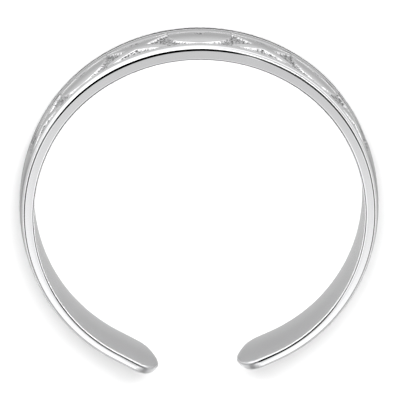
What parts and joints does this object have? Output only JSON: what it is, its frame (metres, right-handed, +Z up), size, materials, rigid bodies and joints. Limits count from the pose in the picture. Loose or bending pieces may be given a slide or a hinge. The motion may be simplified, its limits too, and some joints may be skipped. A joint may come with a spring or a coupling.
{
  "type": "toe ring",
  "caption": "Open toe ring: a slim domed band with rounded tips, its front cast with raised hearts and crosses between rounded rails.",
  "frame": {"origin": "on the ring's axis, in the plane of the side face that the ring lies on", "axes": "+Z up along the ring's axis, as the toe passes through it; the decorated front faces -Y and the gap between the tips faces +Y; +X completes the frame"},
  "size_m": [0.0164, 0.0155, 0.0042],
  "materials": {
    "polished_silver": "rhodium-plated sterling silver, mirror polished, with a matt grained ground between the motifs"
  },
  "bodies": {
    "root": {"band": "polished_silver"}
  },
  "joints": []
}
